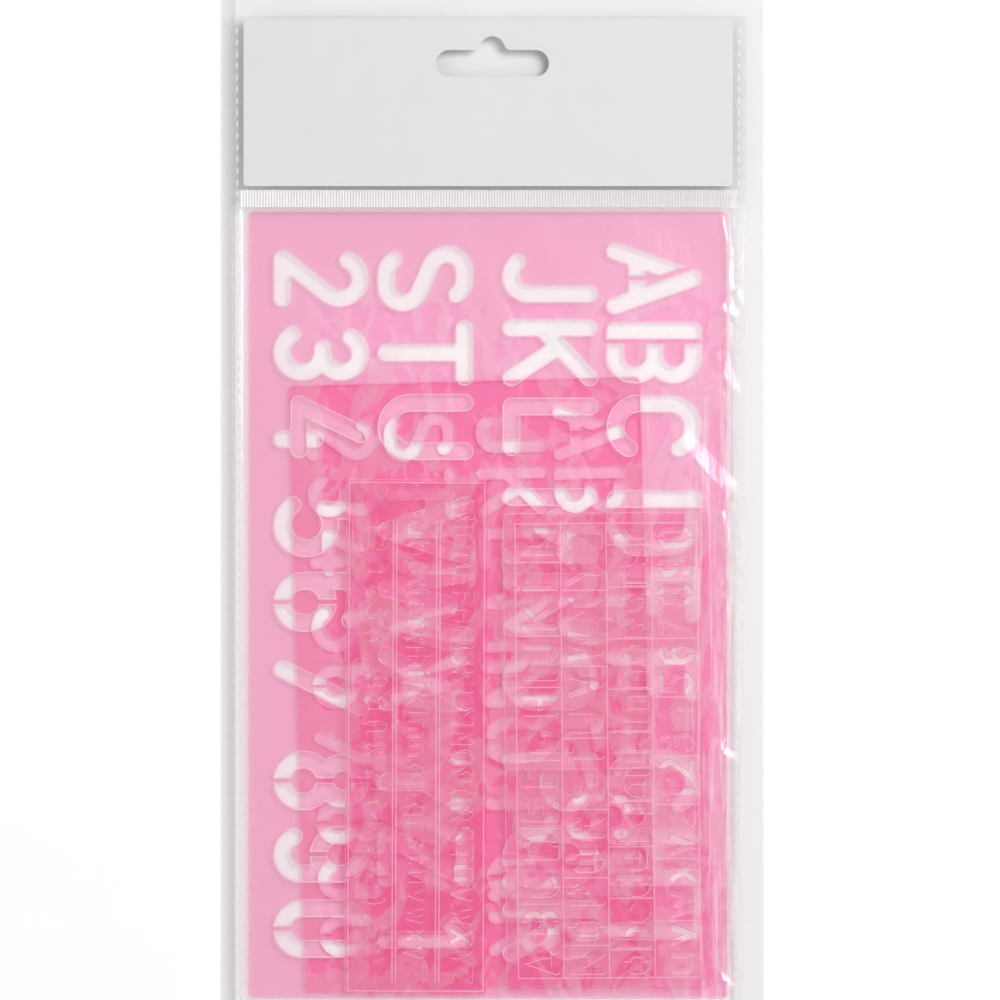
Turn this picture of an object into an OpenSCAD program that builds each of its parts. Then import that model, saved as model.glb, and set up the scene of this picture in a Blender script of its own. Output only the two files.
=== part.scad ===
// A set of four lettering stencils in a clear header bag, lying on its back.
// +X runs to the right, +Y towards the hanging header and +Z up, with z = 0 on the table and
// the origin in the middle. Heights along the bag are measured from its lower edge.

/* [Bag] */
// Thickness of the clear film
film_t = 0.1; // [0.06:0.01:0.15]
// Air between the large stencil and the pouch on either side
side_air = 1.55; // [0.8:0.05:4]
// Air between the large stencil and the pouch's foot
foot_air = 1; // [0.5:0.1:4]
// Air between the large stencil and the ribbed seal
mouth_air = 0.9; // [0.5:0.1:4]
// Width of the joined margin beside the pouch, at its foot
side_margin = 1.5; // [1.2:0.1:4]
// Width of the joined margin below the pouch
foot_margin = 2.2; // [1.8:0.1:5]
// How much further the film reaches at the header, on either side
flare = 1.1; // [0:0.1:3]
// How far the pouch walls lean inwards from margin to floor
wall_run = 0.8; // [0.4:0.1:1.2]
// Height of the ribbed seal
seal_h = 4.8; // [3:0.1:5.2]
// Pitch of the seal's ribs
rib_pitch = 0.8; // [0.6:0.1:1.6]
// Depth of the seal's ribs
rib_depth = 0.12; // [0.08:0.01:0.2]
// Distance of the dashed side weld from the edge of the film
weld_in = 1.9; // [1.6:0.1:2]
// Pitch of the weld's dashes
dash_pitch = 3.3; // [2.8:0.1:5]
// Length of one dash
dash_l = 1.6; // [1:0.1:2.2]
// Width of one dash
dash_w = 0.45; // [0.3:0.05:0.6]
// Height of one dash above the film
dash_h = 0.06; // [0.04:0.01:0.12]

/* [Closing flap] */
// Length of the flap
flap_l = 32; // [20:1:45]
// Gap at the flap's crease
crease_gap = 0.3; // [0.2:0.05:0.5]
// How much narrower the flap is than the pouch's floor, on either side
flap_in = 1; // [0.5:0.1:5]
// Width of the adhesive strip
glue_w = 6; // [4:0.5:10]
// Thickness of the adhesive strip
glue_t = 0.08; // [0.05:0.01:0.12]
// Distance of the adhesive strip from the flap's free edge
glue_in = 3; // [2:0.5:6]

/* [Header card] */
// Height of the card
card_h = 47.4; // [36:0.1:60]
// Thickness of the card
card_t = 0.42; // [0.4:0.01:0.6]
// Distance from the card to the film's edge on either side
card_in = 3.8; // [3.6:0.1:10]
// Distance from the card to the top of the film
card_down = 0.9; // [0.7:0.1:4]
// Radius of the card's corners
card_r = 1; // [0.5:0.1:3]
// Distance from the card to the seal
card_gap = 1.1; // [0.8:0.1:4]

/* [Hang slot] */
// Width of the hang slot
slot_w = 32; // [28:0.5:36]
// Height of the slot's straight bar
slot_h = 7.5; // [6:0.1:9]
// Radius of the arch above the bar
arch_r = 3.55; // [3:0.05:4.5]
// Height of the arch's centre above the middle of the bar
arch_up = 4.1; // [3.8:0.1:6]
// Radius of the shoulders beside the arch
shoulder_r = 2; // [1:0.1:3]
// Sideways place of the slot
slot_x = 1.2; // [-3:0.1:3]
// Distance from the top of the bag to the middle of the bar
slot_down = 13.5; // [13:0.1:20]

/* [Large stencil] */
// Width of the large stencil
large_w = 136.3; // [132:0.1:137]
// Length of the large stencil
large_l = 223.5; // [218:0.1:224]
// Thickness of the large stencil
large_t = 1; // [0.6:0.1:1.4]
// Height of its letters
large_cap = 26.5; // [22:0.1:28]
// Width of its letter strokes
large_stroke = 4.35; // [3:0.05:4.6]
// Width of the bridges that hold its islands
large_bridge = 2; // [1:0.1:2.4]
// Distance between letters in a group of three
large_pitch = 21.1; // [20:0.1:22]
// Distance between groups of three letters
large_group = 71.5; // [68:0.1:72]
// Distance of the inner rows from the middle
large_inner = 17.7; // [16:0.1:18.5]
// Distance of the outer rows from the middle
large_outer = 47.2; // [46:0.1:50]

/* [Medium stencil] */
// Width of the medium stencil
medium_w = 100; // [96:0.1:104]
// Length of the medium stencil
medium_l = 172.5; // [166:0.1:173]
// Thickness of the medium stencil
medium_t = 1; // [0.6:0.1:1.4]
// Height of its letters
medium_cap = 20; // [16:0.1:21]
// Width of its letter strokes
medium_stroke = 3.3; // [2.4:0.05:3.5]
// Width of the bridges that hold its islands
medium_bridge = 1.6; // [0.8:0.1:1.8]
// Distance between letters in a group of three
medium_pitch = 16.1; // [15.4:0.1:16.6]
// Distance between groups of three letters
medium_group = 54.6; // [51:0.1:55]
// Distance of the inner rows from the middle
medium_inner = 13; // [12:0.1:13.5]
// Distance of the outer rows from the middle
medium_outer = 35; // [34.5:0.1:37]
// Sideways place of its middle
medium_x = -4.5; // [-12:0.5:12]
// Distance of its middle from the bag's lower edge
medium_y = 93; // [93:0.5:130]
// How far it lies turned in the pouch
medium_turn = 1.5; // [0:0.1:1.8]

/* [Small stencil] */
// Width of the small stencil
small_w = 58.5; // [56:0.1:60]
// Length of the small stencil
small_l = 135; // [130:0.1:140]
// Thickness of the two ruled stencils
ruled_t = 0.8; // [0.6:0.1:1]
// Height of its capital letters
small_cap = 10; // [8:0.1:10.2]
// Width of its letter strokes
small_stroke = 1.45; // [1:0.05:1.6]
// Width of the bridges that hold its islands
small_bridge = 0.7; // [0.5:0.05:0.8]
// Height of one ruled row
small_row = 12.9; // [12.2:0.1:13.2]
// Sideways place of its middle
small_x = 33.9; // [32:0.1:36]
// Distance of its middle from the bag's lower edge
small_y = 74.4; // [74:0.1:120]
// How far it lies turned in the pouch
small_turn = 0.45; // [0:0.05:0.6]

/* [Mini stencil] */
// Width of the mini stencil
mini_w = 40.1; // [38:0.1:42]
// Length of the mini stencil
mini_l = 145.8; // [142:0.1:148]
// Height of its capital letters
mini_cap = 6.5; // [5.5:0.1:6.6]
// Width of its letter strokes
mini_stroke = 1.05; // [0.8:0.05:1.1]
// Width of the bridges that hold its islands
mini_bridge = 0.5; // [0.4:0.05:0.6]
// Distance between its rows of letters
mini_row = 12.3; // [11.8:0.1:12.6]
// Radius of its hanging hole
hole_r = 2.4; // [1.5:0.1:2.6]
// Distance of the hanging hole from its upper end
hole_in = 7.7; // [6:0.1:9]
// Sideways place of its middle
mini_x = -20.4; // [-24:0.1:-18]
// Distance of its middle from the bag's lower edge
mini_y = 78.3; // [78:0.1:120]
// How far it lies turned in the pouch
mini_turn = -0.2; // [-0.5:0.05:0]

/* [Fits] */
// Height of the raised ruling lines
line_h = 0.15; // [0.1:0.05:0.25]
// Width of the raised ruling lines
line_w = 0.35; // [0.3:0.05:0.6]
// Air between neighbouring sheets and films
layer_gap = 0.3; // [0.3:0.05:0.5]
// Radius of the stencils' corners
corner_r = 1.8; // [1:0.1:3]

/* [Hidden] */
$fn = 48;

// Heights of the layers, from the table up
medium_z = film_t + layer_gap;
large_z = medium_z + medium_t + layer_gap;
ruled_z = large_z + large_t + layer_gap;
join_z = ruled_z + ruled_t + line_h + layer_gap;
front_z = join_z + film_t;
cover_z = front_z + card_t;

// The pouch holds the large stencil, and its mouth lies under the seal, on the back
pouch_half = large_w / 2 + side_air + wall_run;
large_y = foot_margin + wall_run + foot_air + large_l / 2;
seal_at = large_y + large_l / 2 + mouth_air;
mouth_y = seal_at;
seal_half = pouch_half;
flap_half = pouch_half - wall_run - flap_in;
flap_y = mouth_y + crease_gap;

// The film reaches past the pouch, and the card lies above the seal
bag_foot_w = 2 * (pouch_half + side_margin);
bag_top_w = bag_foot_w + 2 * flare;
card_w = bag_top_w - 2 * card_in;
card_y = seal_at + seal_h + card_gap;
card_run = 0.5;
bag_l = card_y + card_h + card_down;

// The ruled stencils: distances of letters and lines from their frames
frame_in = 2.9;
row_margin = 1.3;
baseline_up = 1.3;
mini_margin = 3.2;
mini_frame_in = 0.7;
double_gap = 0.5;
mini_lift = 4;
mini_head = 2 * hole_in - mini_lift;
mini_low = 0.6;
mini_ends = [mini_margin, mini_margin + 2, mini_margin + 9];
slim = 0.01;

// Straight and curved edges cross by this much where they would only touch
lap = 0.004;
// Cutting shapes run this far past what they cut
over = 1;

// Lettering. A stroke is a straight line [x1, y1, x2, y2], an arc [x, y, radius, from, to]
// or a dot [x, y], on a grid where capitals are 1 high between the middles of their strokes.
// A glyph is [name, width, strokes, wide bridges, fine bridges]. A bridge is a line too, and a
// fifth value lays it along the left (1) or the right (-1) edge of the stroke on that line.
lower = 0.67;
bowl = 0.28;
arch = 0.26;
stem_cut = [0, -0.3, 0, 1.3, -1];
leg_cut = [0.5075, 0.55, 0.2625, 1.25, 1];

// How far letters and digits of the big rows stand beside the middle of their places, on that grid
SHIFTS = [
    ["D", -0.09], ["E", -0.13], ["F", -0.05], ["M", -0.055],
    ["5", -0.033], ["6", -0.035], ["7", 0.1], ["8", -0.024], ["9", -0.033], ["0", -0.033]
];

function oval(x, y, r, h) = [
    [x + r, y + h - r, r, 0, 180],
    [x + r, y + r, r, 180, 360],
    [x, y + r, x, y + h - r],
    [x + 2 * r, y + r, x + 2 * r, y + h - r]
];

// An S of two round bowls, joined by the line that touches both
function s_curve(w, h, r) = let(
    rise = h - 2 * r,
    run = w - 2 * r,
    lean = atan2(rise, run),
    open = acos(2 * r / norm([run, rise])),
    turn = 360 - lean - open
) [
    [r, h - r, r, 90, turn],
    [w - r, r, r, -90, turn - 180],
    [r + r * cos(turn), h - r + r * sin(turn), w - r - r * cos(turn), r - r * sin(turn)],
    [r, h, w - 1.3 * r, h],
    [w - 1.3 * r, h - r, r, 35, 90],
    [1.15 * r, 0, w - r, 0],
    [1.15 * r, r, r, 215, 270]
];

function upright_cut(x, low, high) = [x, low, x, high];

CAPITALS = [
    ["A", 0.70, [[0, 0, 0.35, 1], [0.70, 0, 0.35, 1], [0.1, 0.283, 0.6, 0.283]],
        [leg_cut, upright_cut(0.35, 0.1, 0.45)], [leg_cut, upright_cut(0.41, 0.1, 0.45)]],
    ["B", 0.57, [[0, 0, 0, 1], [0, 1, 0.325, 1], [0, 0.51, 0.325, 0.51], [0, 0, 0.315, 0],
        [0.325, 0.755, 0.245, -90, 90], [0.315, 0.255, 0.255, -90, 90]],
        [stem_cut], [upright_cut(0.29, -0.3, 1.3)]],
    ["C", 0.60, [[0.3, 0.7, 0.3, 25, 180], [0, 0.3, 0, 0.7], [0.3, 0.3, 0.3, 180, 335]], [], []],
    ["D", 0.62, [[0, 0, 0, 1], [0, 1, 0.32, 1], [0, 0, 0.32, 0], [0.62, 0.3, 0.62, 0.7],
        [0.32, 0.7, 0.3, 0, 90], [0.32, 0.3, 0.3, -90, 0]],
        [stem_cut], [upright_cut(0.31, -0.3, 1.3)]],
    ["E", 0.50, [[0, 0, 0, 1], [0, 1, 0.5, 1], [0, 0.51, 0.43, 0.51], [0, 0, 0.5, 0]], [], []],
    ["F", 0.46, [[0, 0, 0, 1], [0, 1, 0.46, 1], [0, 0.51, 0.4, 0.51]], [], []],
    ["G", 0.60, [[0.3, 0.7, 0.3, 25, 180], [0, 0.3, 0, 0.7], [0.3, 0.3, 0.3, 180, 360],
        [0.6, 0.3, 0.6, 0.46], [0.36, 0.46, 0.6, 0.46]], [], []],
    ["H", 0.53, [[0, 0, 0, 1], [0.53, 0, 0.53, 1], [0, 0.51, 0.53, 0.51]], [], []],
    ["I", 0, [[0, 0, 0, 1]], [], []],
    ["J", 0.40, [[0.4, 0.234, 0.4, 1], [0.166, 0.234, 0.234, -138, 0]], [], []],
    ["K", 0.64, [[0, 0, 0, 1], [0, 0.4, 0.64, 1], [0.234, 0.62, 0.64, 0]], [], []],
    ["L", 0.52, [[0, 0, 0, 1], [0, 0, 0.52, 0]], [], []],
    ["M", 0.74, [[0, 0, 0, 1], [0.74, 0, 0.74, 1], [0, 1, 0.37, 0.4], [0.74, 1, 0.37, 0.4]], [], []],
    ["N", 0.58, [[0, 0, 0, 1], [0.58, 0, 0.58, 1], [0, 1, 0.58, 0]], [], []],
    ["O", 0.58, oval(0, 0, 0.29, 1),
        [upright_cut(0.29, -0.3, 1.3)], [upright_cut(0.29, -0.3, 1.3)]],
    ["P", 0.54, [[0, 0, 0, 1], [0, 1, 0.28, 1], [0, 0.48, 0.28, 0.48], [0.28, 0.74, 0.26, -90, 90]],
        [stem_cut], [upright_cut(0.27, 0.3, 1.3)]],
    ["Q", 0.58, concat(oval(0, 0, 0.29, 1), [[0.4, 0.2, 0.6, 0]]),
        [upright_cut(0.29, -0.3, 1.3)], [upright_cut(0.29, -0.3, 1.3)]],
    ["R", 0.56, [[0, 0, 0, 1], [0, 1, 0.28, 1], [0, 0.48, 0.28, 0.48], [0.28, 0.74, 0.26, -90, 90],
        [0.28, 0.48, 0.56, 0]],
        [stem_cut], [upright_cut(0.27, 0.3, 1.3)]],
    ["S", 0.62, s_curve(0.62, 1, 0.22), [], []],
    ["T", 0.62, [[0, 1, 0.62, 1], [0.31, 0, 0.31, 1]], [], []],
    ["U", 0.62, [[0, 0.31, 0, 1], [0.62, 0.31, 0.62, 1], [0.31, 0.31, 0.31, 180, 360]], [], []],
    ["V", 0.64, [[0, 1, 0.32, 0], [0.64, 1, 0.32, 0]], [], []],
    ["W", 0.80, [[0, 1, 0.2, 0], [0.2, 0, 0.4, 0.8], [0.4, 0.8, 0.6, 0], [0.6, 0, 0.8, 1]], [], []],
    ["X", 0.60, [[0, 0, 0.6, 1], [0, 1, 0.6, 0]], [], []],
    ["Y", 0.62, [[0, 1, 0.31, 0.48], [0.62, 1, 0.31, 0.48], [0.31, 0, 0.31, 0.48]], [], []],
    ["Z", 0.54, [[0, 1, 0.54, 1], [0.54, 1, 0, 0], [0, 0, 0.54, 0]], [], []]
];
DIGITS = [
    ["0", 0.52, oval(0, 0, 0.26, 1),
        [upright_cut(0.26, -0.3, 1.3)], [upright_cut(0.26, -0.3, 1.3)]],
    ["1", 0.22, [[0.22, 0, 0.22, 1], [0, 0.8, 0.22, 1]], [], []],
    ["2", 0.51, [[0.255, 0.745, 0.255, -38, 157], [0, 0, 0.456, 0.588], [0, 0, 0.51, 0]], [], []],
    ["3", 0.494, [[0.254, 0.76, 0.24, -90, 150], [0.19, 0.52, 0.254, 0.52],
        [0.234, 0.26, 0.26, -150, 90]], [], []],
    ["4", 0.574, [[0.38, 1, 0, 0.214], [0, 0.214, 0.574, 0.214], [0.44, 0, 0.44, 0.42]], [], []],
    ["5", 0.53, [[0.07, 1, 0.47, 1], [0.07, 1, 0.031, 0.544], [0.224, 0.306, 0.306, -145, 129]], [], []],
    ["6", 0.54, concat(oval(0, 0, 0.27, 0.58), [[0, 0.3, 0, 0.73], [0.27, 0.73, 0.27, 30, 180]]),
        [upright_cut(0.27, -0.3, 0.75)], [upright_cut(0.27, -0.3, 0.75)]],
    ["7", 0.52, [[0, 1, 0.52, 1], [0.52, 1, 0.03, 0]], [], []],
    ["8", 0.54, [[0.27, 0.77, 0.23, 0, 360], [0.27, 0.27, 0.27, 0, 360]],
        [upright_cut(0.27, -0.3, 1.3)], [upright_cut(0.27, -0.3, 1.3)]],
    ["9", 0.50, concat(oval(0, 0.46, 0.25, 0.54), [[0.5, 0.25, 0.5, 0.75], [0.25, 0.25, 0.25, 205, 360]]),
        [upright_cut(0.25, 0.3, 1.3)], [upright_cut(0.25, 0.3, 1.3)]]
];
// Small letters, with their tails down to a level and the bowls above tails raised
function small_letters(tail, raise) = let(
    wide = 2 * bowl,
    span = 2 * arch,
    ring = oval(0, 0, bowl, lower),
    high_ring = oval(0, raise, bowl, lower - raise),
    ring_cut = [upright_cut(bowl, -0.2, lower + 0.2)],
    high_cut = [upright_cut(bowl, raise - 0.13, lower + 0.2)],
    hook = 0.17
) [
    ["a", wide, concat(ring, [[wide, 0, wide, lower]]), [], ring_cut],
    ["b", wide, concat(ring, [[0, 0, 0, 1]]), [], ring_cut],
    ["c", wide, [[bowl, lower - bowl, bowl, 30, 180], [0, bowl, 0, lower - bowl],
        [bowl, bowl, bowl, 180, 330]], [], []],
    ["d", wide, concat(ring, [[wide, 0, wide, 1]]), [], ring_cut],
    ["e", wide, [[bowl, lower - bowl, bowl, 0, 180], [0, bowl, 0, lower - bowl],
        [bowl, bowl, bowl, 180, 325], [0, lower / 2, wide, lower / 2],
        [wide, lower / 2, wide, lower - bowl]], [], [upright_cut(bowl, 0.2, lower + 0.2)]],
    ["f", 0.34, [[0.12, 0, 0.12, 0.8], [0.32, 0.8, 0.2, 85, 180], [0, lower, 0.32, lower]], [], []],
    ["g", wide, concat(high_ring, [[wide, tail + hook, wide, lower],
        [wide - hook, tail + hook, hook, -90, 0], [0.1, tail, wide - hook, tail]]), [], high_cut],
    ["h", span, [[0, 0, 0, 1], [arch, lower - arch, arch, 0, 180], [span, 0, span, lower - arch]],
        [], []],
    ["i", 0, [[0, 0, 0, lower], [0, 1]], [], []],
    ["j", 0.16, [[0.16, tail + 0.16, 0.16, lower], [0.16, 1], [0, tail + 0.16, 0.16, 260, 360]],
        [], []],
    ["k", 0.44, [[0, 0, 0, 1], [0, 0.25, 0.42, lower], [0.13, 0.38, 0.44, 0]], [], []],
    ["l", 0, [[0, 0, 0, 1]], [], []],
    ["m", 0.84, [[0, 0, 0, lower], [0.21, lower - 0.21, 0.21, 0, 180], [0.42, 0, 0.42, lower - 0.21],
        [0.63, lower - 0.21, 0.21, 0, 180], [0.84, 0, 0.84, lower - 0.21]], [], []],
    ["n", span, [[0, 0, 0, lower], [arch, lower - arch, arch, 0, 180], [span, 0, span, lower - arch]],
        [], []],
    ["o", wide, ring, [], ring_cut],
    ["p", wide, concat(high_ring, [[0, tail, 0, lower]]), [], high_cut],
    ["q", wide, concat(high_ring, [[wide, tail, wide, lower]]), [], high_cut],
    ["r", 0.36, [[0, 0, 0, lower], [0.22, lower - 0.22, 0.22, 50, 180]], [], []],
    ["s", 0.45, s_curve(0.45, lower, 0.15), [], []],
    ["t", 0.36, [[0.14, 0.16, 0.14, 0.95], [0.3, 0.16, 0.16, 180, 290], [0, lower, 0.34, lower]],
        [], []],
    ["u", span, [[0, arch, 0, lower], [arch, arch, arch, 180, 360], [span, 0, span, lower]], [], []],
    ["v", 0.48, [[0, lower, 0.24, 0], [0.48, lower, 0.24, 0]], [], []],
    ["w", 0.72, [[0, lower, 0.18, 0], [0.18, 0, 0.36, 0.6], [0.36, 0.6, 0.54, 0],
        [0.54, 0, 0.72, lower]], [], []],
    ["x", 0.46, [[0, 0, 0.46, lower], [0, lower, 0.46, 0]], [], []],
    ["y", 0.48, [[0, lower, 0.25, 0.05], [0.48, lower, 0.48 - 0.38 * (lower - tail), tail]], [], []],
    ["z", 0.44, [[0, lower, 0.44, lower], [0.44, lower, 0, 0], [0, 0, 0.44, 0]], [], []]
];
SIGNS = [
    ["&", 0.58, [[0.24, 0.8, 0.2, -30, 210], [0.07, 0.7, 0.58, 0], [0.24, 0.24, 0.24, 120, 330],
        [0.12, 0.45, 0.41, 0.68]], [], [upright_cut(0.24, -0.3, 1.3)]],
    ["?", 0.46, [[0.23, 0.77, 0.23, -40, 160], [0.406, 0.622, 0.23, 0.42], [0.23, 0.34, 0.23, 0.42],
        [0.23, 0]], [], []],
    ["!", 0, [[0, 0.34, 0, 1], [0, 0]], [], []],
    ["(", 0.2, [[0.75, 0.5, 0.75, 140, 220]], [], []],
    [")", 0.2, [[-0.55, 0.5, 0.75, -40, 40]], [], []],
    ["+", 0.6, [[0, 0.45, 0.6, 0.45], [0.3, 0.15, 0.3, 0.75]], [], []],
    ["*", 0.5, [[0, 0.2, 0.5, 0.7], [0, 0.7, 0.5, 0.2]], [], []],
    ["=", 0.56, [[0, 0.3, 0.56, 0.3], [0, 0.62, 0.56, 0.62]], [], []],
    [":", 0, [[0, 0.15], [0, 0.62]], [], []],
    ["%", 0.7, [[0.06, 0, 0.64, 1], [0.08, 0.86], [0.62, 0.14]], [], []],
    ["~", 0.44, [[0, 0.7, 0.2, 0.4], [0.44, 0.7, 0.1, 0.1]], [], []]
];
LONG_TAILED = concat(CAPITALS, DIGITS, small_letters(-0.26, 0), SIGNS);
SHORT_TAILED = concat(CAPITALS, DIGITS, small_letters(-0.12, 0.14), SIGNS);

// What each stencil spells, row by row
BIG_ROWS = ["234567890", "STUVWXYZ1", "JKLMNOPQR", "ABCDEFGHI"];
SMALL_ROWS = ["ABCDEFGHIJKLM", "NOPQRSTUVWXYZ", "abcdefghijklmnopqrst", "uvwxyz1234567890"];
MINI_ROWS = ["ABCDEFGHIJKLMNOPQRSTUVWXYZ", "abcdefghijklmnopqrstuvwxyz", "1234567890&?!(+*=:)%~"];
WIDE = 3;
FINE = 4;

function glyph(font, c) = font[search([c], font, 1, 0)[0]];
function widths(font, row, unit) = [for (c = row) glyph(font, c)[1] * unit];
function total(v, n) = n <= 0 ? 0 : v[n - 1] + total(v, n - 1);

module straight(a, b, w) {
    d = b - a;
    translate(a) rotate(atan2(d[1], d[0])) {
        translate([0, lap - w / 2]) square([norm(d), w - 2 * lap]);
        circle(d = w);
    }
    translate(b) circle(d = w);
}

module sector(r, from, to) {
    steps = ceil((to - from) / 45);
    polygon(concat([[0, 0]], [for (i = [0 : steps])
        let(a = from + (to - from) * i / steps) 2 * r * [cos(a), sin(a)]]));
}

module ring(r, w) {
    difference() {
        circle(r = r + w / 2);
        circle(r = r - w / 2);
    }
}

module bend(r, from, to, w) {
    if (to - from >= 360) {
        ring(r, w);
    } else {
        intersection() {
            ring(r, w - 2 * lap);
            sector(r + w, from, to);
        }
        for (a = [from, to]) rotate(a) translate([r, 0]) circle(d = w);
    }
}

module draw_glyph(g, unit, stroke, bridge, style) {
    difference() {
        union() {
            for (s = g[2]) {
                if (len(s) == 4) straight(unit * [s[0], s[1]], unit * [s[2], s[3]], stroke);
                if (len(s) == 5) translate(unit * [s[0], s[1]]) bend(unit * s[2], s[3], s[4], stroke);
                if (len(s) == 2) translate(unit * s) circle(d = stroke);
            }
        }
        for (s = g[style]) {
            d = [s[2] - s[0], s[3] - s[1]];
            side = len(s) == 5 ? s[4] : 0;
            translate(unit * [s[0], s[1]]) rotate(atan2(d[1], d[0]))
                translate([0, side * ((stroke + bridge) / 2 - 2 * lap) - bridge / 2])
                    square([unit * norm(d), bridge]);
        }
    }
}

function own_shift(letter) = let(found = [for (s = SHIFTS) if (s[0] == letter) s[1]])
    len(found) > 0 ? found[0] : 0;

// A row of letters in groups of three, each in the middle of its own place or shifted from it
module grouped_row(row, pitch, group, cap, stroke, bridge) {
    unit = cap - stroke;
    for (i = [0 : len(row) - 1]) {
        g = glyph(LONG_TAILED, row[i]);
        at = (floor(i / 3) - 1) * group + (i % 3 - 1) * pitch;
        shift = own_shift(row[i]);
        translate([at + unit * (shift - g[1] / 2), -unit / 2])
            draw_glyph(g, unit, stroke, bridge, WIDE);
    }
}

// Gap between the letters of a row that fills a length
function even_gap(w, length, stroke) = (length - total(w, len(w)) - stroke * len(w)) / (len(w) - 1);

// A row of letters with even gaps, from x = 0 to x = length, standing on y = 0
module spaced_row(font, row, length, cap, stroke, bridge) {
    unit = cap - stroke;
    w = widths(font, row, unit);
    gap = even_gap(w, length, stroke);
    for (i = [0 : len(row) - 1])
        translate([total(w, i) + i * (gap + stroke) + stroke / 2, stroke / 2])
            draw_glyph(glyph(font, row[i]), unit, stroke, bridge, FINE);
}

// Middle of the gap after a number of letters of such a row
function gap_after(font, row, n, length, unit, stroke) = let(
    w = widths(font, row, unit),
    gap = even_gap(w, length, stroke)
) total(w, n) + n * (gap + stroke) - gap / 2;

module rounded(w, h, r) {
    square([w - 2 * r, h], center = true);
    square([w, h - 2 * r], center = true);
    for (x = [-1, 1], y = [-1, 1]) translate([x * (w / 2 - r), y * (h / 2 - r)]) circle(r = r);
}

module line_frame(w, h) {
    difference() {
        square([w, h], center = true);
        square([w - 2 * line_w, h - 2 * line_w], center = true);
    }
}

// The hang slot, centred on the middle of its bar
module hang_slot() {
    bar_top = slot_h / 2;
    shoulder_y = bar_top + shoulder_r;
    shoulder_x = sqrt(pow(arch_r + shoulder_r - 2 * lap, 2) - pow(shoulder_y - arch_up, 2));
    straight([slot_h / 2 - slot_w / 2, 0], [slot_w / 2 - slot_h / 2, 0], slot_h);
    translate([0, arch_up]) circle(r = arch_r);
    difference() {
        polygon([[-shoulder_x, bar_top - over], [shoulder_x, bar_top - over], [shoulder_x, shoulder_y],
                 [0, arch_up], [-shoulder_x, shoulder_y]]);
        for (x = [-1, 1]) translate([x * shoulder_x, shoulder_y]) circle(r = shoulder_r);
    }
}

module placed_hang_slot() {
    translate([slot_x, bag_l - slot_down]) hang_slot();
}

// Moves what is measured from the bag's lower edge so that the bag is centred
module from_foot() {
    translate([0, -bag_l / 2, 0]) children();
}

// Half the width of the film at a height on the bag
function film_half(y) = (bag_foot_w + (bag_top_w - bag_foot_w) * y / bag_l) / 2;

module film_outline(low, high) {
    polygon([
        [-film_half(low), low],
        [film_half(low), low],
        [film_half(high), high],
        [-film_half(high), high]
    ]);
}

// A block with leaning sides: full size at its base or its top, smaller at the other end
module leaning_block(half, low, high, run, run_low, run_high, z0, z1) {
    intersection() {
        translate([0, high + over, 0]) rotate([90, 0, 0]) linear_extrude(high - low + 2 * over)
            polygon([[-half, z1], [half, z1], [half - run, z0], [run - half, z0]]);
        rotate([90, 0, 90]) translate([0, 0, -half - over]) linear_extrude(2 * (half + over))
            polygon([[low, z1], [high, z1], [high - run_high, z0], [low + run_low, z0]]);
    }
}

module back_film() {
    foot_y = foot_margin;
    color("lightcyan", 0.4) from_foot() difference() {
        union() {
            translate([0, 0, join_z]) linear_extrude(film_t) film_outline(0, mouth_y);
            leaning_block(pouch_half, foot_y, mouth_y, wall_run, wall_run, 0, 0, join_z + film_t / 2);
        }
        leaning_block(pouch_half - film_t, foot_y + film_t, mouth_y + over, wall_run, wall_run, 0,
            film_t, join_z + 2 * film_t);
    }
}

module card_cover(half_w, low, high, z) {
    mirror([0, 0, 1]) leaning_block(half_w + card_run, low - card_run, high + card_run, card_run,
        card_run, card_run, -z, -front_z);
}

module front_film() {
    top_y = card_y + card_h;
    color("lightcyan", 0.4) from_foot() difference() {
        union() {
            translate([0, 0, front_z]) linear_extrude(film_t) film_outline(0, bag_l);
            card_cover(card_w / 2 + film_t, card_y - film_t, top_y + film_t, cover_z + film_t);
        }
        card_cover(card_w / 2, card_y, top_y, cover_z);
        translate([0, 0, join_z]) linear_extrude(cover_z - join_z + over) placed_hang_slot();
    }
}

module header_back_film() {
    color("lightcyan", 0.4) from_foot() translate([0, 0, join_z]) linear_extrude(film_t) difference() {
        film_outline(mouth_y, bag_l);
        placed_hang_slot();
    }
}

module header_card() {
    color("gainsboro") from_foot() translate([0, 0, front_z]) linear_extrude(card_t) difference() {
        translate([0, card_y + card_h / 2]) rounded(card_w, card_h, card_r);
        placed_hang_slot();
    }
}

// Fine ribs pressed into the films, side by side across the bag
module ribbed_seal() {
    count = floor(2 * seal_half / rib_pitch);
    half = count * rib_pitch / 2;
    base = front_z + film_t;
    ridge = [for (i = [0 : 2 * count]) [i * rib_pitch / 2 - half, base + (i % 2 == 0 ? slim : rib_depth)]];
    color("whitesmoke", 0.7) from_foot() translate([0, seal_at + seal_h, 0]) rotate([90, 0, 0])
        linear_extrude(seal_h) polygon(concat([[-half, base]], ridge, [[half, base]]));
}

module weld(side) {
    count = floor((bag_l - dash_pitch) / dash_pitch);
    start = (bag_l - (count - 1) * dash_pitch) / 2;
    lean = atan2(film_half(bag_l) - film_half(0), bag_l);
    color("white", 0.8) from_foot() for (i = [0 : count - 1]) {
        y = start + i * dash_pitch;
        translate([side * (film_half(y) - weld_in), y, front_z + film_t]) rotate([0, 0, -side * lean])
            linear_extrude(dash_h) square([dash_w, dash_l], center = true);
    }
}

module left_weld() {
    weld(-1);
}

module right_weld() {
    weld(1);
}

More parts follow.
